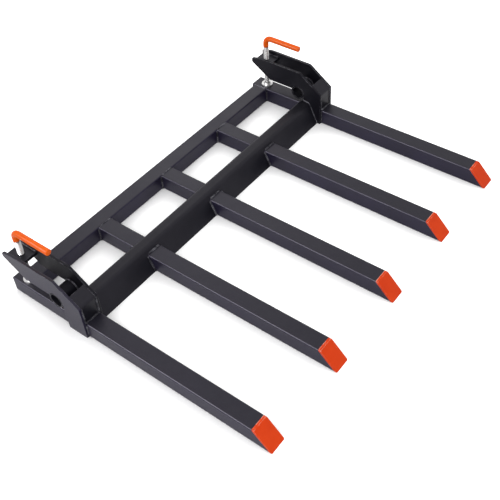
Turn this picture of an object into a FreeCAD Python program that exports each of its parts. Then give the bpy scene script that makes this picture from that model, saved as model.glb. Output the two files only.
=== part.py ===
import FreeCAD, Part
import math
import os

os.makedirs("parts", exist_ok=True)

# Clamp-on fork for a loader bucket. Millimetres, +Z up, tines towards -Y.
# While drawing, x = 0 is the outer side of the left tine, y = 0 is the foot of
# the front rail and z = 0 is the ground. finish() moves each piece so that the
# origin is the bottom centre of the whole fork.

# Driving dimensions. A rise is a height above the top of the tubes, a drop a depth below the
# plates' crest.
width = 1140.0
tine_count = 5
tube = 50.8
tube_wall = 3.2
tube_corner = 4.0
corner_clip = 2.3
reach = 598.0
frame_rear = 265.3
outer_tine_overhang = 6.0
tip_plate_thickness = 5.0
cap_thickness = 3.0

# Front rail: one folded plate. Its face leans back so that the load slides up.
rail_wall = 6.0
rail_bend_y = 32.0
rail_bend_rise = 17.2
rail_rear_y = 67.0
rail_rear_rise = 22.2
front_bend_radius = 14.0
rear_bend_radius = 9.0

# Clamp side plates, seen from the side
plate_thickness = 8.0
plate_front = -10.0
plate_shoulder_drop = 57
plate_crest_rise = 118.2
plate_crest_front = 72.0
plate_crest_rear = 225.0
plate_tip_y = 265.0
plate_tip_top_drop = 8
plate_tip_bottom_drop = 22
throat_height = 49.7
arm_flat_rear = 191.0
leg_rear = 56.0
plate_corner = 5.0

# Round stop pipe across the inner end of the clamp's throat
pipe_radius = 24.0
pipe_wall = 5.0
pipe_y = 80.0
pipe_rise = 41.2
weld_gap = 0.3

# Bent nose plate between the side plates
nose_thickness = 8.0
nose_recess = 1.5
nose_length = 42.0
nose_bend_radius = 12.0

# Nut plate, nut, screw with its bent handle, and the foot that the screw turns in
screw_y = 229.0
screw_radius = 9.0
thread_fit = 0.05
nut_plate_front = 196.0
nut_plate_rear = 258.0
nut_plate_drop = 15
nut_plate_thickness = 10.0
nut_flats = 27.0
nut_height = 15.0
hole_clearance = 1.0
handle_above_crest = 63
handle_bend = 21.0
handle_bend_steps = 5
handle_length = 133.0
button_radius = 7.5
button_height = 4.5
swivel_fit = 0.05
neck_radius = 4.5
neck_length = 4.0
foot_radius = 19.0
foot_base = 3.0
foot_flange = 5.0
foot_hub_radius = 11.0
foot_height = 14.5

# Worked out from the above
pitch = (width - tube) / (tine_count - 1)
frame_front = frame_rear - tube
outer_tine_rear = frame_rear + outer_tine_overhang
fork_rear = outer_tine_rear + cap_thickness
rail_bend_z = tube + rail_bend_rise
rail_rear_z = tube + rail_rear_rise
plate_crest_z = tube + plate_crest_rise
plate_shoulder_z = plate_crest_z - plate_shoulder_drop
plate_tip_top_z = plate_crest_z - plate_tip_top_drop
plate_tip_bottom_z = plate_crest_z - plate_tip_bottom_drop
arm_underside_z = tube + throat_height
pipe_z = tube + pipe_rise
nut_plate_top_z = plate_crest_z - nut_plate_drop
handle_z = plate_crest_z + handle_above_crest
foot_floor = tube + foot_base
foot_top = tube + foot_height
screw_start_z = foot_top + neck_length
handle_end_y = screw_y - handle_length
face_y_at_tube_top = tube * rail_bend_y / rail_bend_z
centre = FreeCAD.Vector(width / 2, (fork_rear - reach) / 2, 0)


def point(x, y, z):
    return FreeCAD.Vector(x, y, z)


def finish(name, shape):
    """Move a piece to the fork's own origin and write it."""
    solid = shape.removeSplitter()
    solid.translate(centre * -1)
    solid.exportStep("parts/" + name + ".step")


def side_prism(outline, x_from, x_to):
    """Extrude a side view outline, given as (y, z) pairs, along the width."""
    corners = [point(x_from, y, z) for y, z in outline]
    face = Part.Face(Part.makePolygon(corners + corners[:1]))
    return face.extrude(point(x_to - x_from, 0, 0))


def round_corners(solid, corners, radius):
    """Round the edges that run along the width through the given (y, z) corners."""
    edges = []
    for edge in solid.Edges:
        first, last = edge.Vertexes[0].Point, edge.Vertexes[-1].Point
        if abs(first.x - last.x) < 1:
            continue
        for y, z in corners:
            if abs(first.y - y) < 0.01 and abs(first.z - z) < 0.01:
                edges.append(edge)
    return solid.makeFillet(radius, edges)


def long_edges(bar, length):
    """The edges of a bar that run along its whole length."""
    return [edge for edge in bar.Edges if abs(edge.Length - length) < 0.01]


def rounded_tube_blank(length):
    """Solid of the tube's outside along +Y, with its rolled corners."""
    bar = Part.makeBox(tube, length, tube)
    return bar.makeFillet(tube_corner, long_edges(bar, length))


def clipped_bar(length):
    """Bar as wide as the tube along +Y, its corners clipped inside the tube's round."""
    bar = Part.makeBox(tube, length, tube)
    return bar.makeChamfer(corner_clip, long_edges(bar, length))


def square_tube(length):
    """Hollow square tube along +Y with its lower left edge on the origin."""
    bore_side = tube - 2 * tube_wall
    bore = Part.makeBox(bore_side, length, bore_side, point(tube_wall, 0, tube_wall))
    return rounded_tube_blank(length).cut(bore)


def tip_slant(drop):
    """Side view of the sloping tip, set back by drop along the tine."""
    return [(drop - reach, 0), (drop - reach + tube, tube)]


def make_tine(x, is_outer):
    """A tine: the outer two run back to the rear, the others stop at the rail."""
    plate_depth = tip_plate_thickness * math.sqrt(2)
    low, high = tip_slant(plate_depth)
    if is_outer:
        back = [(outer_tine_rear, tube), (outer_tine_rear, 0)]
    else:
        back = [(face_y_at_tube_top, tube), (0, 0)]
    blank = square_tube(reach + outer_tine_rear)
    blank.translate(point(x, -reach, 0))
    return blank.common(side_prism([low, high] + back, x, x + tube))


def make_tip_plate(x):
    """The plate that closes a tine's sloping tip."""
    plate_depth = tip_plate_thickness * math.sqrt(2)
    front = tip_slant(0)
    rear = tip_slant(plate_depth)
    blank = clipped_bar(2 * tube)
    blank.translate(point(x, -reach, 0))
    return blank.common(side_prism(front + rear[::-1], x, x + tube))


def make_rear_cap(x):
    """The plate that closes an outer tine's rear end."""
    cap = clipped_bar(cap_thickness)
    cap.translate(point(x, outer_tine_rear, 0))
    return cap


def make_rear_rail():
    """Square tube across the back, between the two outer tines."""
    rail = square_tube(width - 2 * tube)
    rail.rotate(point(0, 0, 0), point(0, 0, 1), -90)
    rail.translate(point(tube, frame_rear, 0))
    return rail


def make_cross_member(x):
    """Short tube from the front rail to the rear rail, in line with a tine."""
    member = square_tube(frame_front - rail_rear_y)
    member.translate(point(x, rail_rear_y, 0))
    return member


def meeting_point(first, second, third, inset):
    """Corner of the inner outline where two walls of a folded plate meet."""
    before = point(0, second[0] - first[0], second[1] - first[1]).normalize()
    after = point(0, third[0] - second[0], third[1] - second[1]).normalize()
    inward_before = point(0, before.z, -before.y)
    inward_after = point(0, after.z, -after.y)
    middle = inward_before + inward_after
    scale = inset / (1 + inward_before.dot(inward_after))
    return (second[0] + middle.y * scale, second[1] + middle.z * scale)


def make_front_rail():
    """The folded plate that joins the tines: leaning face, top and rear wall."""
    foot = (0, 0)
    bend = (rail_bend_y, rail_bend_z)
    rear_bend = (rail_rear_y, rail_rear_z)
    rear_foot = (rail_rear_y, 0)
    inner_bend = meeting_point(foot, bend, rear_bend, rail_wall)
    inner_rear = meeting_point(bend, rear_bend, rear_foot, rail_wall)
    lean = math.hypot(*bend) / rail_bend_z
    inner_foot = (rail_wall * lean, 0)
    inner_rear_foot = (rail_rear_y - rail_wall, 0)
    outline = [foot, bend, rear_bend, rear_foot, inner_rear_foot, inner_rear, inner_bend, inner_foot]
    rail_from = tube + plate_thickness
    rail = side_prism(outline, rail_from, width - rail_from)
    rail = round_corners(rail, [bend], front_bend_radius)
    rail = round_corners(rail, [inner_bend], front_bend_radius - rail_wall)
    rail = round_corners(rail, [rear_bend], rear_bend_radius)
    return round_corners(rail, [inner_rear], rear_bend_radius - rail_wall)


def make_side_plate(x):
    """One clamp side plate: a leg, an arm and a bite for the stop pipe."""
    crest_front = (plate_crest_front, plate_crest_z)
    crest_rear = (plate_crest_rear, plate_crest_z)
    shoulder = (plate_front, plate_shoulder_z)
    tip_top = (plate_tip_y, plate_tip_top_z)
    tip_bottom = (plate_tip_y, plate_tip_bottom_z)
    arm_rear = (arm_flat_rear, arm_underside_z)
    outline = [(plate_front, 0), shoulder, crest_front, crest_rear, tip_top, tip_bottom]
    outline += [arm_rear, (pipe_y, arm_underside_z), (pipe_y, pipe_z), (leg_rear, pipe_z), (leg_rear, 0)]
    plate = side_prism(outline, x, x + plate_thickness)
    plate = round_corners(plate, [shoulder, crest_front, tip_top, tip_bottom], plate_corner)
    pipe_start = point(x, pipe_y, pipe_z)
    bite = Part.makeCylinder(pipe_radius + weld_gap, plate_thickness, pipe_start, point(1, 0, 0))
    return plate.cut(bite)


def make_stop_pipe(x):
    """Short pipe through both side plates, its ends flush with their faces."""
    length = tube + 2 * plate_thickness
    start = point(x - plate_thickness, pipe_y, pipe_z)
    outside = Part.makeCylinder(pipe_radius, length, start, point(1, 0, 0))
    return outside.cut(Part.makeCylinder(pipe_radius - pipe_wall, length, start, point(1, 0, 0)))


def make_nose_plate(x):
    """Bent plate that closes the front of the clamp and stands on the tine."""
    chamfer_y = plate_crest_front - plate_front
    chamfer_z = plate_shoulder_drop
    chamfer = math.hypot(chamfer_y, chamfer_z)
    along = (chamfer_y / chamfer, chamfer_z / chamfer)
    foot = (plate_front + nose_recess, tube)
    # The recess is measured square to the plates' front and to their chamfer.
    bend = (foot[0], plate_shoulder_z - nose_recess * (1 - along[1]) / along[0])
    top = (bend[0] + nose_length * along[0], bend[1] + nose_length * along[1])
    inner_bend = meeting_point(foot, bend, top, nose_thickness)
    inner_top = (top[0] + nose_thickness * along[1], top[1] - nose_thickness * along[0])
    inner_foot = (foot[0] + nose_thickness, tube)
    nose = side_prism([foot, bend, top, inner_top, inner_bend, inner_foot], x, x + tube)
    nose = round_corners(nose, [bend], nose_bend_radius)
    return round_corners(nose, [inner_bend], nose_bend_radius - nose_thickness)


def make_nut_plate(x):
    """Plate between the side plates that carries the nut."""
    depth = nut_plate_rear - nut_plate_front
    bottom = nut_plate_top_z - nut_plate_thickness
    plate = Part.makeBox(tube, depth, nut_plate_thickness, point(x, nut_plate_front, bottom))
    hole_start = point(x + tube / 2, screw_y, bottom)
    hole = Part.makeCylinder(screw_radius + hole_clearance, nut_plate_thickness, hole_start)
    return plate.cut(hole)


def make_nut(x):
    """Hexagon nut welded under the nut plate. Its thread is left as a plain bore."""
    bottom = nut_plate_top_z - nut_plate_thickness - nut_height
    middle = point(x + tube / 2, screw_y, bottom)
    corner_radius = nut_flats / math.sqrt(3)
    corners = []
    for step in range(7):
        angle = math.radians(60 * step)
        corners.append(middle + point(corner_radius * math.cos(angle), corner_radius * math.sin(angle), 0))
    block = Part.Face(Part.makePolygon(corners)).extrude(point(0, 0, nut_height))
    bore = Part.makeCylinder(screw_radius + thread_fit, nut_height, middle)
    return block.cut(bore)


def turned(x, outline):
    """Solid turned about the screw's axis from (radius, height) pairs."""
    axis_x = x + tube / 2
    corners = [point(axis_x + radius, screw_y, z) for radius, z in outline]
    face = Part.Face(Part.makePolygon(corners + corners[:1]))
    return face.revolve(point(axis_x, screw_y, 0), point(0, 0, 1), 360)


def make_handle_bend(x):
    """Quarter bend of the handle: round sections joined in short steps."""
    start = point(x + tube / 2, screw_y, handle_z - handle_bend)
    pivot = start - point(0, handle_bend, 0)
    sections = []
    for step in range(handle_bend_steps + 1):
        section = Part.Wire(Part.makeCircle(screw_radius, start))
        section.rotate(pivot, point(1, 0, 0), 90 * step / handle_bend_steps)
        sections.append(section)
    return Part.makeLoft(sections, True, True)


def make_screw(x):
    """Threaded rod with its bent handle, and the button that turns in the foot."""
    axis_x = x + tube / 2
    bend_start_z = handle_z - handle_bend
    bend_end_y = screw_y - handle_bend
    rod_start = point(axis_x, screw_y, screw_start_z)
    rise = Part.makeCylinder(screw_radius, bend_start_z - screw_start_z, rod_start)
    arm_start = point(axis_x, bend_end_y, handle_z)
    arm = Part.makeCylinder(screw_radius, bend_end_y - handle_end_y, arm_start, point(0, -1, 0))
    button_end = foot_floor + swivel_fit
    button_top = button_end + button_height
    outline = [(0, button_end), (button_radius, button_end), (button_radius, button_top)]
    outline += [(neck_radius, button_top), (neck_radius, screw_start_z), (0, screw_start_z)]
    return rise.fuse(make_handle_bend(x)).fuse(arm).fuse(turned(x, outline))


def make_foot(x):
    """Round foot: a flange and a hub that is closed over the screw's button."""
    flange_top = tube + foot_flange
    socket_top = foot_floor + button_height + 2 * swivel_fit
    outline = [(0, tube), (foot_radius, tube), (foot_radius, flange_top), (foot_hub_radius, flange_top)]
    outline += [(foot_hub_radius, foot_top), (neck_radius + swivel_fit, foot_top)]
    outline += [(neck_radius + swivel_fit, socket_top), (button_radius + swivel_fit, socket_top)]
    outline += [(button_radius + swivel_fit, foot_floor), (0, foot_floor)]
    return turned(x, outline)


for number in range(1, tine_count + 1):
    tine_x = (number - 1) * pitch
    is_outer = number in (1, tine_count)
    finish("tine_%d" % number, make_tine(tine_x, is_outer))
    finish("tip_plate_%d" % number, make_tip_plate(tine_x))
    if not is_outer:
        finish("cross_member_%d" % (number - 1), make_cross_member(tine_x))

finish("front_rail", make_front_rail())
finish("rear_rail", make_rear_rail())

for side, clamp_x in (("left", 0), ("right", width - tube)):
    plate_low = clamp_x - plate_thickness
    plate_high = clamp_x + tube
    outer_x, inner_x = (plate_low, plate_high) if side == "left" else (plate_high, plate_low)
    finish(side + "_outer_plate", make_side_plate(outer_x))
    finish(side + "_inner_plate", make_side_plate(inner_x))
    finish(side + "_stop_pipe", make_stop_pipe(clamp_x))
    finish(side + "_nose_plate", make_nose_plate(clamp_x))
    finish(side + "_nut_plate", make_nut_plate(clamp_x))
    finish(side + "_nut", make_nut(clamp_x))
    finish(side + "_screw", make_screw(clamp_x))
    finish(side + "_foot", make_foot(clamp_x))
    finish(side + "_rear_cap", make_rear_cap(clamp_x))
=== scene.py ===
import bmesh
import bpy
import math
from mathutils import Matrix, Vector, noise


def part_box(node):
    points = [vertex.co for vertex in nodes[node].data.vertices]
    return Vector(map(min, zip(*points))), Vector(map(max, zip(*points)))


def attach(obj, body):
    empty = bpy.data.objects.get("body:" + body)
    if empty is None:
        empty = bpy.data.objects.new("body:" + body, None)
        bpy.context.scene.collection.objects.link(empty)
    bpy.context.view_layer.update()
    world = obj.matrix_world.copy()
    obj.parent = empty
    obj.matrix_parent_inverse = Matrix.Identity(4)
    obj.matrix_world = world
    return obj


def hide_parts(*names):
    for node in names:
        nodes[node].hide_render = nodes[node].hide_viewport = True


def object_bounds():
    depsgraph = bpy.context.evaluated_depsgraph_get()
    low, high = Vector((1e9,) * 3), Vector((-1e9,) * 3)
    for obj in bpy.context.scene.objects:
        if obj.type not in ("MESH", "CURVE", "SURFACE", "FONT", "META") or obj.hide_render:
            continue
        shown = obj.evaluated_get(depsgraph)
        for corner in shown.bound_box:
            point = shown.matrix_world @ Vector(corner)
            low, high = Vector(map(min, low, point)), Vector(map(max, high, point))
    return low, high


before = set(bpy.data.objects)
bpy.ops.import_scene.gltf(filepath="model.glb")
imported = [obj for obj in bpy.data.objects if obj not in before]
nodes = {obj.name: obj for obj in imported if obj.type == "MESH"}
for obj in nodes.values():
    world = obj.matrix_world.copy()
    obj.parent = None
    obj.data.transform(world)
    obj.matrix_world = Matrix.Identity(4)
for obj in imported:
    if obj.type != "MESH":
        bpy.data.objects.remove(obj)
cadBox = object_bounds()
scene = bpy.context.scene
mm = 0.001
print("frame loaded,", len(nodes), "nodes")


# Shader groups shared by the finishes
def newGroup(name, inputs, outputs):
    group = bpy.data.node_groups.new(name, "ShaderNodeTree")
    for label, value in inputs.items():
        socket = group.interface.new_socket(name=label, in_out="INPUT", socket_type="NodeSocketFloat")
        socket.default_value = value
    for label in outputs:
        group.interface.new_socket(name=label, in_out="OUTPUT", socket_type="NodeSocketFloat")
    start = group.nodes.new("NodeGroupInput")
    end = group.nodes.new("NodeGroupOutput")
    return group, start, end


def feedSocket(tree, value, socket):
    # a number or a colour is set on the socket, anything else is linked to it
    if isinstance(value, (int, float)):
        socket.default_value = value
    elif isinstance(value, tuple):
        socket.default_value = (*value, 1.0)
    else:
        tree.links.new(value, socket)


def mathNode(tree, operation, first, second, clamp=False):
    node = tree.nodes.new("ShaderNodeMath")
    node.operation = operation
    node.use_clamp = clamp
    feedSocket(tree, first, node.inputs[0])
    feedSocket(tree, second, node.inputs[1])
    return node.outputs[0]


def noiseNode(tree, vector, scale, detail, roughness=0.5):
    node = tree.nodes.new("ShaderNodeTexNoise")
    node.inputs["Detail"].default_value = detail
    node.inputs["Roughness"].default_value = roughness
    feedSocket(tree, scale, node.inputs["Scale"])
    tree.links.new(vector, node.inputs["Vector"])
    return node.outputs["Fac"]


def rangeNode(tree, value, low, high, toLow=0.0, toHigh=1.0):
    node = tree.nodes.new("ShaderNodeMapRange")
    node.inputs["From Min"].default_value = low
    node.inputs["From Max"].default_value = high
    node.inputs["To Min"].default_value = toLow
    node.inputs["To Max"].default_value = toHigh
    tree.links.new(value, node.inputs["Value"])
    return node.outputs["Result"]


def upwardShare(tree, normal, low, high):
    # 0 up to the lower height of the normal, 1 from the higher one
    parts = tree.nodes.new("ShaderNodeSeparateXYZ")
    tree.links.new(normal, parts.inputs[0])
    return rangeNode(tree, parts.outputs["Z"], low, high)


edgeWearAndHighlightLook = {"samples": 6, "corner": (0.995, 0.93), "upward": (0.6, 0.85),
           "patchDetail": 5.0, "patches": (0.42, 0.62)}


def edgeWearAndHighlightGroup():
    # a mask of worn corners and painted highlight lines along the edges, broken up in patches
    inputs = {"Radius": 0.002, "Break Scale": 60.0, "Upward Only": 0.0, "Amount": 0.5}
    group, start, end = newGroup("edgeWearAndHighlight", inputs, ["Mask"])
    place = group.nodes.new("ShaderNodeTexCoord").outputs["Object"]
    bevel = group.nodes.new("ShaderNodeBevel")
    bevel.samples = edgeWearAndHighlightLook["samples"]
    group.links.new(start.outputs["Radius"], bevel.inputs["Radius"])
    surface = group.nodes.new("ShaderNodeNewGeometry")
    dot = group.nodes.new("ShaderNodeVectorMath")
    dot.operation = "DOT_PRODUCT"
    group.links.new(bevel.outputs["Normal"], dot.inputs[0])
    group.links.new(surface.outputs["Normal"], dot.inputs[1])
    corner = rangeNode(group, dot.outputs["Value"], *edgeWearAndHighlightLook["corner"])
    spots = noiseNode(group, place, start.outputs["Break Scale"], edgeWearAndHighlightLook["patchDetail"])
    patches = rangeNode(group, spots, *edgeWearAndHighlightLook["patches"])
    upward = upwardShare(group, bevel.outputs["Normal"], *edgeWearAndHighlightLook["upward"])
    level = mathNode(group, "SUBTRACT", 1.0, start.outputs["Upward Only"])
    kept = mathNode(group, "MAXIMUM", upward, level)
    mask = mathNode(group, "MULTIPLY", mathNode(group, "MULTIPLY", corner, patches), kept)
    scaled = mathNode(group, "MULTIPLY", mask, start.outputs["Amount"], clamp=True)
    group.links.new(scaled, end.inputs["Mask"])
    return group


grainLook = {"grainDetail": 2.0, "toneDetail": 6.0, "toneRoughness": 0.6, "tone": (0.3, 0.7)}


def fineGrainGroup():
    # orange peel of powder and paint as a height, and a slow change of tone
    inputs = {"Grain Scale": 900.0, "Tone Scale": 9.0}
    group, start, end = newGroup("fineGrain", inputs, ["Height", "Tone"])
    place = group.nodes.new("ShaderNodeTexCoord").outputs["Object"]
    grain = noiseNode(group, place, start.outputs["Grain Scale"], grainLook["grainDetail"])
    tone = noiseNode(group, place, start.outputs["Tone Scale"], grainLook["toneDetail"],
                     grainLook["toneRoughness"])
    group.links.new(grain, end.inputs["Height"])
    group.links.new(rangeNode(group, tone, *grainLook["tone"]), end.inputs["Tone"])
    return group


dustLook = {"upward": (0.6, 1.0), "scale": 35.0, "detail": 8.0, "roughness": 0.7, "patches": (0.4, 0.75)}


def dustAndTopToneGroup():
    # a mask of the dust on what faces up, and one of everything that faces up, which carries a thin film
    # and also keeps the tops out of the painted violet light on the sides
    inputs = {"Amount": 0.3, "Film And Top Tone Amount": 1.0}
    group, start, end = newGroup("dustAndTopTone", inputs, ["Mask", "Film And Top Tone"])
    place = group.nodes.new("ShaderNodeTexCoord").outputs["Object"]
    surface = group.nodes.new("ShaderNodeNewGeometry")
    upward = upwardShare(group, surface.outputs["Normal"], *dustLook["upward"])
    spots = noiseNode(group, place, dustLook["scale"], dustLook["detail"], dustLook["roughness"])
    mask = mathNode(group, "MULTIPLY", upward, rangeNode(group, spots, *dustLook["patches"]))
    scaled = mathNode(group, "MULTIPLY", mask, start.outputs["Amount"], clamp=True)
    filmAndTopTone = mathNode(group, "MULTIPLY", upward, start.outputs["Film And Top Tone Amount"])
    group.links.new(scaled, end.inputs["Mask"])
    group.links.new(filmAndTopTone, end.inputs["Film And Top Tone"])
    return group


edgeWearAndHighlight = edgeWearAndHighlightGroup()
fineGrain = fineGrainGroup()
dustAndTopTone = dustAndTopToneGroup()


# Finishes
def placeGroup(tree, group, values):
    node = tree.nodes.new("ShaderNodeGroup")
    node.node_tree = group
    for label, value in values.items():
        node.inputs[label].default_value = value
    return node


def mixColour(tree, factor, first, second):
    node = tree.nodes.new("ShaderNodeMix")
    node.data_type = "RGBA"
    tree.links.new(factor, node.inputs["Factor"])
    feedSocket(tree, first, node.inputs["A"])
    feedSocket(tree, second, node.inputs["B"])
    return node.outputs["Result"]


def newFinish(name):
    material = bpy.data.materials.new(name)
    material.use_nodes = True
    tree = material.node_tree
    return material, tree, tree.nodes["Principled BSDF"]


def bumpFrom(tree, shader, height, look):
    bump = tree.nodes.new("ShaderNodeBump")
    bump.inputs["Strength"].default_value = look["bump"]
    bump.inputs["Distance"].default_value = look["bumpDepth"]
    tree.links.new(height, bump.inputs["Height"])
    tree.links.new(bump.outputs["Normal"], shader.inputs["Normal"])


def sprayedFinish(name, look):
    # powder coat and paint: slow tone change, a film on what faces up that also keeps the tops apart
    # from the painted light on the sides, worn corners with painted highlight lines, dust and grain
    material, tree, shader = newFinish(name)
    grain = placeGroup(tree, fineGrain, {
        "Grain Scale": look["grainScale"], "Tone Scale": look["toneScale"]})
    wornLitEdges = placeGroup(tree, edgeWearAndHighlight, {
        "Radius": look["wornLitRadius"], "Amount": look["wornLitAmount"], "Upward Only": look["litTopEdgesOnly"]})
    dust = placeGroup(tree, dustAndTopTone, {
        "Amount": look["dustAmount"], "Film And Top Tone Amount": look["filmAndTopToneAmount"]})
    base = mixColour(tree, grain.outputs["Tone"], look["dark"], look["light"])
    filmedAndTopToned = mixColour(tree, dust.outputs["Film And Top Tone"], base, look["filmAndTopTone"])
    wornAndLitEdge = mixColour(tree, wornLitEdges.outputs["Mask"], filmedAndTopToned, look["wornAndLitEdge"])
    dusty = mixColour(tree, dust.outputs["Mask"], wornAndLitEdge, look["dust"])
    tree.links.new(dusty, shader.inputs["Base Color"])
    gloss = rangeNode(tree, grain.outputs["Tone"], 0.0, 1.0, *look["rough"])
    tree.links.new(gloss, shader.inputs["Roughness"])
    shader.inputs["Specular IOR Level"].default_value = look["specular"]
    shader.inputs["Specular Tint"].default_value = (*look["tint"], 1)
    bumpFrom(tree, shader, grain.outputs["Height"], look)
    return material


# the pale edge colour of the black coat is partly wear and partly a painted highlight along the corners
blackLook = {
    "dark": (0.005, 0.005, 0.008), "light": (0.009, 0.009, 0.013), "filmAndTopTone": (0.007, 0.007, 0.009),
    "wornAndLitEdge": (0.24, 0.24, 0.27), "dust": (0.05, 0.05, 0.06), "filmAndTopToneAmount": 0.8, "dustAmount": 0.10,
    "wornLitRadius": 1.8 * mm, "wornLitAmount": 0.85, "litTopEdgesOnly": 0.0, "grainScale": 700.0, "toneScale": 7.0,
    "rough": (0.34, 0.44), "specular": 0.27, "tint": (0.92, 0.87, 1.0),
    "bump": 0.35, "bumpDepth": 0.3 * mm}
# a painted-light copy of the same powder coat for the tubes and the left outer plate: a bluer base and
# more gloss stand in for the violet light on their sides, while the tops keep the film's neutral tone
violetLightCast = {"dark": (0.011, 0.009, 0.023), "light": (0.017, 0.014, 0.037), "specular": 0.325}
# and a painted-shade copy for the clamps' inner plates and stop pipes, whose lower gloss darkens them
# like the shade inside the clamp
shadedCast = {"specular": 0.12}
# the pale edge colour on the tips, kept to edges that face up, is a painted highlight along their top
# edge
tipLook = {
    "dark": (0.68, 0.042, 0.002), "light": (0.78, 0.060, 0.005), "filmAndTopTone": (0.80, 0.14, 0.06),
    "wornAndLitEdge": (1.0, 0.50, 0.36), "dust": (0.82, 0.16, 0.06), "filmAndTopToneAmount": 0.02, "dustAmount": 0.10,
    "wornLitRadius": 2.6 * mm, "wornLitAmount": 2.2, "litTopEdgesOnly": 1.0, "grainScale": 600.0, "toneScale": 14.0,
    "rough": (0.42, 0.52), "specular": 0.14, "tint": (1, 1, 1), "bump": 0.3, "bumpDepth": 0.3 * mm}
handleLook = {
    "dark": (0.84, 0.104, 0.004), "light": (0.92, 0.138, 0.007), "filmAndTopTone": (0.90, 0.22, 0.06),
    "wornAndLitEdge": (0.95, 0.32, 0.12), "dust": (0.93, 0.26, 0.08), "filmAndTopToneAmount": 0.02, "dustAmount": 0.08,
    "wornLitRadius": 1.2 * mm, "wornLitAmount": 0.3, "litTopEdgesOnly": 0.0, "grainScale": 300.0, "toneScale": 30.0,
    "rough": (0.24, 0.32), "specular": 0.11, "tint": (1, 1, 1), "bump": 0.2, "bumpDepth": 0.3 * mm}
blackPowder = sprayedFinish("blackPowder", blackLook)
violetLitPowder = sprayedFinish("violetLitPowder", {**blackLook, **violetLightCast})
shadedInnerPowder = sprayedFinish("shadedInnerPowder", {**blackLook, **shadedCast})
tipPaint = sprayedFinish("tipPaint", tipLook)
handlePaint = sprayedFinish("handlePaint", handleLook)

zincLook = {
    "dark": (0.44, 0.44, 0.45), "light": (0.64, 0.63, 0.62), "wornAndLitEdge": (0.88, 0.88, 0.88),
    "grainScale": 500.0, "toneScale": 45.0, "wornLitRadius": 1.0 * mm, "wornLitAmount": 0.6, "metallic": 0.9,
    "stainScale": 120.0, "stainDetail": 5.0, "stains": (0.3, 0.7), "rough": (0.24, 0.42),
    "bump": 0.15, "bumpDepth": 0.2 * mm}


def zincFinish(name, look):
    # bright zinc plate: metal with soft cloudy stains
    material, tree, shader = newFinish(name)
    place = tree.nodes.new("ShaderNodeTexCoord").outputs["Object"]
    grain = placeGroup(tree, fineGrain, {
        "Grain Scale": look["grainScale"], "Tone Scale": look["toneScale"]})
    wornLitEdges = placeGroup(tree, edgeWearAndHighlight, {"Radius": look["wornLitRadius"], "Amount": look["wornLitAmount"]})
    plated = mixColour(tree, grain.outputs["Tone"], look["dark"], look["light"])
    wornAndLitEdge = mixColour(tree, wornLitEdges.outputs["Mask"], plated, look["wornAndLitEdge"])
    tree.links.new(wornAndLitEdge, shader.inputs["Base Color"])
    shader.inputs["Metallic"].default_value = look["metallic"]
    stains = noiseNode(tree, place, look["stainScale"], look["stainDetail"])
    tree.links.new(rangeNode(tree, stains, *look["stains"], *look["rough"]), shader.inputs["Roughness"])
    bumpFrom(tree, shader, grain.outputs["Height"], look)
    return material


brightZinc = zincFinish("brightZinc", zincLook)
print("finishes made")


# Helpers that turn a bmesh into a piece of the fork
dressLook = {"mergeReach": 0.002 * mm, "flatAngle": 0.4, "edgeAngle": 38, "edgeSegments": 2,
             "sharpAngle": 32}


def addPiece(name, bm, material, body, replaced=()):
    mesh = bpy.data.meshes.new(name)
    bmesh.ops.recalc_face_normals(bm, faces=bm.faces)
    bm.to_mesh(mesh)
    bm.free()
    mesh.shade_smooth()
    mesh.set_sharp_from_angle(angle=math.radians(dressLook["sharpAngle"]))
    mesh.materials.append(material)
    piece = bpy.data.objects.new(name, mesh)
    scene.collection.objects.link(piece)
    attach(piece, body)
    if replaced:
        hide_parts(*replaced)
    return piece


def mergedCopy(nodeName):
    # the solid's shape with its doubles merged and its flat faces whole again
    bm = bmesh.new()
    bm.from_mesh(nodes[nodeName].data)
    bmesh.ops.remove_doubles(bm, verts=bm.verts, dist=dressLook["mergeReach"])
    flat = math.radians(dressLook["flatAngle"])
    bmesh.ops.dissolve_limit(bm, angle_limit=flat, verts=bm.verts, edges=bm.edges)
    return bm


def breakEdges(bm, width):
    limit = math.radians(dressLook["edgeAngle"])
    sharp = [edge for edge in bm.edges if edge.is_manifold and edge.calc_face_angle() > limit]
    bmesh.ops.bevel(bm, geom=sharp, offset=width, offset_type="OFFSET", affect="EDGES",
                    segments=dressLook["edgeSegments"], profile=0.5, material=-1, clamp_overlap=True)


def dressNode(nodeName, material, edgeWidth):
    # a copy of the solid with broken edges and even shading
    bm = mergedCopy(nodeName)
    breakEdges(bm, edgeWidth)
    body = nodeName if nodeName.endswith("_foot") else "frame"
    piece = addPiece(nodeName + "_dressed", bm, material, body, [nodeName])
    evenShading = piece.modifiers.new("evenShading", "WEIGHTED_NORMAL")
    evenShading.keep_sharp = True


# Welded frame, clamps and feet: a node is dressed by the first row with a word of its name
edgeWidths = {"tube": 0.4 * mm, "plate": 1.0 * mm, "tip": 0.6 * mm, "nut": 0.4 * mm, "foot": 0.4 * mm}
coatedPlates = ("front_rail", "_outer_plate", "_nose_plate", "_nut_plate", "_rear_cap")
dressRows = (
    # the tubes and the left outer plate take the coat's painted-light copy, the inner plates and stop
    # pipes its painted-shade copy
    (("tine_", "cross_member_", "rear_rail"), violetLitPowder, "black_powder_coat", "tube"),
    (("left_outer_plate",), violetLitPowder, "black_powder_coat", "plate"),
    (("_inner_plate", "_stop_pipe"), shadedInnerPowder, "black_powder_coat", "plate"),
    (coatedPlates, blackPowder, "black_powder_coat", "plate"),
    (("tip_plate_",), tipPaint, "orange_red_paint", "tip"),
    (("_nut",), blackPowder, "black_powder_coat", "nut"),
    (("_foot",), brightZinc, "zinc_plated_steel", "foot"))
for nodeName in list(nodes):
    for words, material, slotName, edge in dressRows:
        if any(word in nodeName for word in words):
            dressNode(nodeName, material, edgeWidths[edge])
            break
print("welded pieces and feet dressed")


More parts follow.
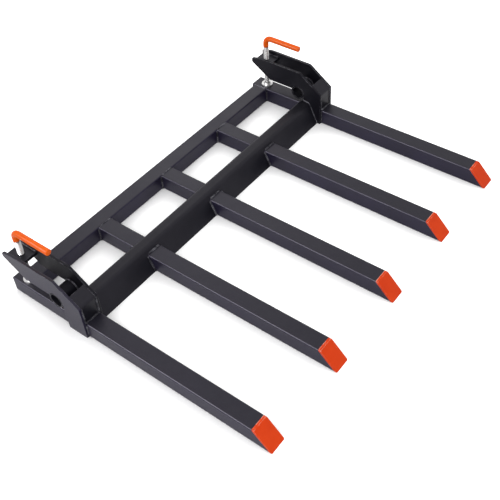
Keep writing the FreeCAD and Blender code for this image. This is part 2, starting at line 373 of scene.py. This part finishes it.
# Screws with their painted handles
screwLook = {
    "sides": 40, "bendRadius": 21 * mm, "bendSteps": 14,
    "threadPitch": 2.5 * mm, "threadDepth": 1.2 * mm, "threadSides": 28, "threadTop": 197 * mm,
    "rootShare": 0.46, "crestShare": 0.1, "sunkShare": 0.3,
    "neckLength": 4 * mm, "neckRadius": 4.5 * mm, "buttonRadius": 7.5 * mm, "buttonHeight": 4.5 * mm,
    "neckLap": 1 * mm, "coreLap": 0.5 * mm, "paintLap": 2 * mm,
    "paintStart": 200 * mm, "paintDepth": 0.12 * mm,
    "rimAngle": 60, "rimReach": 1 * mm, "endRound": 1.6 * mm, "endSegments": 3}


def discAt(bm, place, radius, sides):
    made = bmesh.ops.create_circle(bm, cap_ends=True, radius=radius, segments=sides, matrix=place)
    return [face for vert in made["verts"] for face in vert.link_faces][:1]


def pushFace(bm, faces, move):
    made = bmesh.ops.extrude_face_region(bm, geom=faces)["geom"]
    verts = [item for item in made if isinstance(item, bmesh.types.BMVert)]
    bmesh.ops.translate(bm, vec=move, verts=verts)
    return [item for item in made if isinstance(item, bmesh.types.BMFace)]


def addBar(bm, centre, radius, bottomZ, topZ):
    # an upright bar pushed out of a disc; its top face is handed back
    place = Matrix.Translation((centre.x, centre.y, bottomZ))
    disc = discAt(bm, place, radius, screwLook["sides"])
    return pushFace(bm, disc, Vector((0, 0, topZ - bottomZ)))


def bentBar(centre, radius, startZ, topZ, endY):
    # a bar pushed up, spun through the bend and pushed forward
    bendRadius = screwLook["bendRadius"]
    bm = bmesh.new()
    disc = addBar(bm, centre, radius, startZ, topZ - bendRadius)
    bendCentre = Vector((centre.x, centre.y - bendRadius, topZ - bendRadius))
    turned = bmesh.ops.spin(bm, geom=disc, cent=bendCentre, axis=(1, 0, 0), angle=math.radians(90),
                            steps=screwLook["bendSteps"], use_merge=False)
    last = [item for item in turned["geom_last"] if isinstance(item, bmesh.types.BMFace)]
    bmesh.ops.delete(bm, geom=disc, context="FACES_ONLY")
    pushFace(bm, last, Vector((0, endY - bendCentre.y, 0)))
    bmesh.ops.delete(bm, geom=[face for face in last if face.is_valid], context="FACES_ONLY")
    return bm


def addThread(bm, centre, radius, bottomZ, topZ):
    # a V ridge spun up the rod, its root sunk in the core
    look = screwLook
    pitch, depth, sides = look["threadPitch"], look["threadDepth"], look["threadSides"]
    root, half, crest = radius - depth, pitch * look["rootShare"], pitch * look["crestShare"]
    sunk = root - depth * look["sunkShare"]
    section = [(sunk, -half), (root, -half), (radius, -crest),
               (radius, crest), (root, half), (sunk, half)]
    ridge = bm.faces.new([bm.verts.new((centre.x + out, centre.y, bottomZ + z)) for out, z in section])
    turns = int((topZ - bottomZ) / pitch)
    bmesh.ops.spin(bm, geom=[ridge], cent=(centre.x, centre.y, 0), axis=(0, 0, 1),
                   dvec=(0, 0, pitch / sides), angle=math.radians(360) * turns,
                   steps=sides * turns, use_merge=False)


def screwRod(centre, radius, bottomZ, rodStart):
    # button, neck, thread's core, plain top and thread, each lapping a little into the next
    look = screwLook
    rod = bmesh.new()
    buttonTop = bottomZ + look["buttonHeight"]
    addBar(rod, centre, look["buttonRadius"], bottomZ, buttonTop)
    addBar(rod, centre, look["neckRadius"], buttonTop, rodStart + look["neckLap"])
    addBar(rod, centre, radius - look["threadDepth"], rodStart, look["threadTop"] + look["coreLap"])
    addBar(rod, centre, radius, look["threadTop"], look["paintStart"] + look["paintLap"])
    addThread(rod, centre, radius, rodStart + look["threadPitch"], look["threadTop"])
    return rod


def paintedHandle(centre, radius, topZ, endY):
    # the bent bar with a rounded far end and a thin step where the paint starts
    look = screwLook
    handle = bentBar(centre, radius, look["paintStart"], topZ, endY)
    limit = math.radians(look["rimAngle"])
    rim = [edge for edge in handle.edges if edge.calc_face_angle(0) > limit]
    farRim = [edge for edge in rim if edge.verts[0].co.z > topZ - radius - look["rimReach"]]
    nearRim = [edge for edge in rim if edge not in farRim]
    for edges, offset in ((farRim, look["endRound"]), (nearRim, look["paintDepth"])):
        bmesh.ops.bevel(handle, geom=edges, offset=offset, offset_type="OFFSET", affect="EDGES",
                        segments=look["endSegments"], profile=0.5, material=-1)
    return handle


def addScrew(side):
    footLow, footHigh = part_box(side + "_foot")
    low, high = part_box(side + "_screw")
    centre = (footLow + footHigh) / 2
    radius = (high.x - low.x) / 2
    rod = screwRod(centre, radius - screwLook["paintDepth"], low.z, footHigh.z + screwLook["neckLength"])
    addPiece(side + "_screw_rod", rod, brightZinc, side + "_screw",
             [side + "_screw"])
    handle = paintedHandle(centre, radius, high.z - radius, low.y)
    addPiece(side + "_painted_handle", handle, handlePaint, side + "_screw",
             [side + "_screw"])


for side in ("left", "right"):
    addScrew(side)
print("screws and handles made")


# Weld beads
weldLook = {
    "size": 5.5 * mm, "smallSize": 4.0 * mm, "seamSize": 4.4 * mm, "railSize": 3.6 * mm,
    "radiusShare": 0.62, "standShare": 0.12, "sides": 10, "step": 2.2 * mm, "fewestSteps": 2,
    "startScale": 0.7, "ripple": 0.10, "swell": 0.10, "swellScale": 160,
    "wander": 0.35 * mm, "wanderScale": 90,
    "clear": 4 * mm, "footClear": 2 * mm, "legClear": 5 * mm, "noseClear": 3 * mm,
    "startHeight": 2 * mm, "seamDrop": 1.5 * mm, "railLean": 32 / 68,
    "pipeRadius": 24 * mm, "pipeArc": (176, 28), "pipeSteps": 12,
    "legDepth": 66 * mm, "shoulderHeight": 112 * mm}
# the front rail's outside from its foot to its top edge: how far back and how high
railProfile = ((0, 2 * mm), (30.5 * mm, 65 * mm), (35 * mm, 68.6 * mm), (58 * mm, 71.8 * mm))


def weldBead(bm, route, outward, size):
    # a rippled bead that follows a route along a corner; outward points away from the metal
    look = weldLook
    route = [Vector(spot) for spot in route]
    along = (route[1] - route[0]).normalized()
    outward = Vector(outward)
    outward = (outward - along * outward.dot(along)).normalized()
    spot = route[0] + outward * size * look["standShare"]
    scale = look["startScale"]
    facing = Matrix((along.cross(outward), outward, along)).transposed().to_4x4()
    radius = size * look["radiusShare"] * scale
    face = discAt(bm, Matrix.Translation(spot) @ facing, radius, look["sides"])
    spans = list(zip(route, route[1:]))
    for number, (start, end) in enumerate(spans):
        heading = (end - start).normalized()
        turn = along.rotation_difference(heading).to_matrix()
        bmesh.ops.rotate(bm, cent=spot, matrix=turn, verts=face[0].verts[:])
        outward = turn @ outward
        along = heading
        length = (end - start).length
        steps = max(look["fewestSteps"], round(length / look["step"]))
        for step in range(steps):
            face = pushFace(bm, face, along * length / steps)
            spot += along * length / steps
            isLast = number == len(spans) - 1 and step == steps - 1
            swell = look["swell"] * noise.noise(spot * look["swellScale"])
            wanted = look["startScale"] if isLast else 1 + look["ripple"] * (step % 2) + swell
            verts = face[0].verts[:]
            growth = Vector((1, 1, 1)) * wanted / scale
            bmesh.ops.scale(bm, vec=growth, space=Matrix.Translation(-spot), verts=verts)
            drift = outward * noise.noise(spot * look["wanderScale"]) * look["wander"]
            bmesh.ops.translate(bm, vec=drift, verts=verts)
            spot += drift
            scale = wanted


def uprightBead(bm, x, y, topZ, outward, size):
    # the bead on a standing corner between two pieces
    weldBead(bm, [(x, y, weldLook["startHeight"]), (x, y, topZ)], outward, size)


def tineWelds(bm, top):
    # where the middle tines meet the leaning face of the front rail
    size, clear, drop = weldLook["size"], weldLook["clear"], weldLook["seamDrop"]
    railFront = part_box("front_rail")[0].y
    meetY = railFront + weldLook["railLean"] * top
    for number in (2, 3, 4):
        low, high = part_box("tine_%d" % number)
        weldBead(bm, [(low.x + clear, meetY, top), (high.x - clear, meetY, top)], (0, -0.6, 0.8), size)
        for x, away in ((low.x, -1), (high.x, 1)):
            route = [(x, railFront, weldLook["startHeight"]), (x, meetY - drop, top - clear)]
            weldBead(bm, route, (away, -0.9, 0.3), size)


def crossWelds(bm, top):
    # both ends of the cross members, flush on top with the rear rail
    size, seamSize, clear = weldLook["size"], weldLook["seamSize"], weldLook["clear"]
    for number in (1, 2, 3):
        low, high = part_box("cross_member_%d" % number)
        left, right, seam = low.x + clear, high.x - clear, top - weldLook["seamDrop"]
        weldBead(bm, [(left, low.y, top), (right, low.y, top)], (0, 0.7, 0.7), size)
        weldBead(bm, [(left, high.y, seam), (right, high.y, seam)], (0, 0, 1), seamSize)
        for x, away in ((low.x, -1), (high.x, 1)):
            uprightBead(bm, x, low.y, top - clear, (away, 0.9, 0), size)
            uprightBead(bm, x, high.y, top - clear, (away, -0.9, 0), size)


def rearRailWelds(bm, low, high):
    # both ends of the rear rail, against the outer tines
    size, seamSize = weldLook["size"], weldLook["seamSize"]
    clear, drop = weldLook["clear"], weldLook["seamDrop"]
    beadTop, seam = high.z - clear, high.z - drop
    for x, away in ((low.x, 1), (high.x, -1)):
        uprightBead(bm, x, low.y, beadTop, (away, -0.9, 0), size)
        weldBead(bm, [(x, low.y + clear, seam), (x, high.y - clear, seam)], (0, 0, 1), seamSize)
        uprightBead(bm, x, high.y - drop, beadTop, (0, 1, 0), seamSize)


def frameWelds():
    bm = bmesh.new()
    rearLow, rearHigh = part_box("rear_rail")
    tineWelds(bm, rearHigh.z)
    crossWelds(bm, rearHigh.z)
    rearRailWelds(bm, rearLow, rearHigh)
    addPiece("frame_welds", bm, blackPowder, "frame")


def pipeRoute(wall, centre):
    # points round the stop pipe, on the face of a side plate
    first, last = weldLook["pipeArc"]
    reach = weldLook["pipeRadius"]
    route = []
    for step in range(weldLook["pipeSteps"] + 1):
        angle = math.radians(first + (last - first) * step / weldLook["pipeSteps"])
        route.append((wall, centre.y + reach * math.cos(angle), centre.z + reach * math.sin(angle)))
    return route


def plateWelds(bm, side, wall, away):
    # beads on one side plate: both edges of its leg, the nose, the nut plate, the stop pipe
    small, gap = weldLook["smallSize"], weldLook["noseClear"]
    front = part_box(side + "_outer_plate")[0].y
    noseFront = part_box(side + "_nose_plate")[0].y
    nutLow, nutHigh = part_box(side + "_nut_plate")
    pipeLow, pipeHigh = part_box(side + "_stop_pipe")
    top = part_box("tine_1")[1].z
    legTop = top - weldLook["legClear"]
    uprightBead(bm, wall, front, legTop, (away * 0.2, -1, 0), small)
    uprightBead(bm, wall, front + weldLook["legDepth"], legTop, (away * 0.2, 1, 0), small)
    noseRoute = [(wall, noseFront, top + gap), (wall, noseFront, weldLook["shoulderHeight"] - gap)]
    weldBead(bm, noseRoute, (-away, -0.8, 0), small)
    nutRoute = [(wall, nutLow.y + gap, nutHigh.z), (wall, nutHigh.y - gap, nutHigh.z)]
    weldBead(bm, nutRoute, (-away, 0, 0.8), small)
    weldBead(bm, pipeRoute(wall, (pipeLow + pipeHigh) / 2), (-away, -0.8, 0), small)


def clampWelds(side):
    # the inner plate against the front rail, the nose's foot, then both side plates
    bm = bmesh.new()
    innerLow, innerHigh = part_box(side + "_inner_plate")
    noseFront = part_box(side + "_nose_plate")[0].y
    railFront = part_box("front_rail")[0].y
    tineLow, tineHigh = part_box("tine_1" if side == "left" else "tine_5")
    inward, innerFace = (1, innerHigh.x) if side == "left" else (-1, innerLow.x)
    railRoute = [(innerFace, railFront + back, height) for back, height in railProfile]
    weldBead(bm, railRoute, (inward, -0.5, 0.4), weldLook["railSize"])
    left, right = tineLow.x + weldLook["footClear"], tineHigh.x - weldLook["footClear"]
    footRoute = [(left, noseFront, tineHigh.z), (right, noseFront, tineHigh.z)]
    weldBead(bm, footRoute, (0, -0.8, 0.6), weldLook["size"])
    plateWelds(bm, side, tineLow.x, -1)
    plateWelds(bm, side, tineHigh.x, 1)
    addPiece(side + "_clamp_welds", bm, blackPowder, "frame")


frameWelds()
for side in ("left", "right"):
    clampWelds(side)
print("welds laid")


# Floor, lamps and camera
stageLook = {"floorSize": 14.0, "floorDrop": 0.2 * mm, "floorColour": (0.93, 0.93, 0.93),
             "floorRoughness": 0.9, "floorLift": 0.95, "mirrorLift": 0.16, "liftReach": 0.12,
             "liftFall": 3.4, "skyForLight": 0.60}
topBox = {"place": (-1.6, -0.5, 3.4), "target": (0, 0.1, 0), "width": 2.8, "height": 2.8, "power": 62}
backBox = {"place": (1.7, 2.05, 2.3), "target": (0.1, 0.3, 0), "width": 1.8, "height": 1.6, "power": 10}
# seen in reflections alone, where it draws a light line along the tubes' rounded upper corners
glintBox = {"place": (-2.8, 1.2, 1.9), "target": (-0.1, -0.1, 0.05), "width": 2.2, "height": 0.5,
            "power": 220}


def showsBackdrop(tree):
    # camera, mirror and see-through rays get the white backdrop; the rest get the studio's light
    rays = tree.nodes.new("ShaderNodeLightPath")
    seen = mathNode(tree, "MAXIMUM", rays.outputs["Is Camera Ray"], rays.outputs["Is Glossy Ray"])
    return mathNode(tree, "MAXIMUM", seen, rays.outputs["Is Transmission Ray"])


def liftForRays(tree):
    # the floor glows to white for the camera, and a little for mirror and see-through rays
    rays = tree.nodes.new("ShaderNodeLightPath")
    mirrorLift = stageLook["mirrorLift"]
    extraLift = stageLook["floorLift"] - mirrorLift
    direct = mathNode(tree, "MULTIPLY", rays.outputs["Is Camera Ray"], extraLift)
    return mathNode(tree, "ADD", direct, mathNode(tree, "MULTIPLY", showsBackdrop(tree), mirrorLift))


def makeFloor():
    bm = bmesh.new()
    ground = Matrix.Translation((0, 0, cadBox[0][2] - stageLook["floorDrop"]))
    bmesh.ops.create_grid(bm, x_segments=2, y_segments=2, size=stageLook["floorSize"] / 2, matrix=ground)
    mesh = bpy.data.meshes.new("studioFloor")
    bm.to_mesh(mesh)
    bm.free()
    floor = bpy.data.objects.new("studioFloor", mesh)
    scene.collection.objects.link(floor)
    material, tree, shader = newFinish("paleFloor")
    shader.inputs["Base Color"].default_value = (*stageLook["floorColour"], 1)
    shader.inputs["Roughness"].default_value = stageLook["floorRoughness"]
    shader.inputs["Specular IOR Level"].default_value = 0.0
    shader.inputs["Emission Color"].default_value = (1, 1, 1, 1)
    # the open floor is lifted to white; the lift fades with ambient occlusion near the fork, a painted
    # shade that deepens the shadow round and between its parts
    openness = tree.nodes.new("ShaderNodeAmbientOcclusion")
    openness.inputs["Distance"].default_value = stageLook["liftReach"]
    openFloor = mathNode(tree, "POWER", openness.outputs["AO"], stageLook["liftFall"])
    lift = mathNode(tree, "MULTIPLY", openFloor, liftForRays(tree))
    tree.links.new(lift, shader.inputs["Emission Strength"])
    mesh.materials.append(material)


def makeSky():
    world = bpy.data.worlds.new("studioSky")
    scene.world = world
    world.use_nodes = True
    tree = world.node_tree
    background = tree.nodes["Background"]
    background.inputs["Color"].default_value = (1, 1, 1, 1)
    strength = rangeNode(tree, showsBackdrop(tree), 0.0, 1.0, stageLook["skyForLight"], 1.0)
    tree.links.new(strength, background.inputs["Strength"])


def makeSoftbox(name, look, sheenOnly=False):
    light = bpy.data.lights.new(name, "AREA")
    light.shape = "RECTANGLE"
    light.size, light.size_y = look["width"], look["height"]
    light.energy = look["power"]
    lamp = bpy.data.objects.new(name, light)
    scene.collection.objects.link(lamp)
    lamp.visible_diffuse = not sheenOnly
    place = Vector(look["place"])
    lamp.location = place
    lamp.rotation_euler = (Vector(look["target"]) - place).to_track_quat("-Z", "Y").to_euler()


# set from the photograph's own straight edges
cameraLook = {"azimuth": -50.09, "elevation": 46.30, "roll": -3.92, "distance": 2.2366,
              "aim": (-0.08393, -0.00588, 0.0), "lens": 56.49, "sensor": 36, "reach": 60}


def makeCamera():
    look = cameraLook
    azimuth, elevation, roll = (math.radians(look[word]) for word in ("azimuth", "elevation", "roll"))
    forward = Vector((-math.sin(azimuth), math.cos(azimuth), 0))
    back = Vector((0, 0, math.sin(elevation))) - forward * math.cos(elevation)
    level = Vector((math.cos(azimuth), math.sin(azimuth), 0))
    upright = back.cross(level)
    right = level * math.cos(roll) + upright * math.sin(roll)
    up = upright * math.cos(roll) - level * math.sin(roll)
    lens = bpy.data.cameras.new("photoCamera")
    lens.sensor_width = look["sensor"]
    lens.lens = look["lens"]
    lens.clip_end = look["reach"]
    camera = bpy.data.objects.new("photoCamera", lens)
    scene.collection.objects.link(camera)
    turn = Matrix((right, up, back)).transposed().to_4x4()
    camera.matrix_world = Matrix.Translation(Vector(look["aim"]) + back * look["distance"]) @ turn
    bpy.context.scene.camera = camera


makeFloor()
makeSky()
makeSoftbox("topBox", topBox)
makeSoftbox("glintBox", glintBox, sheenOnly=True)
makeSoftbox("backBox", backBox)
makeCamera()
scene.view_settings.view_transform = "Standard"
print("stage ready")
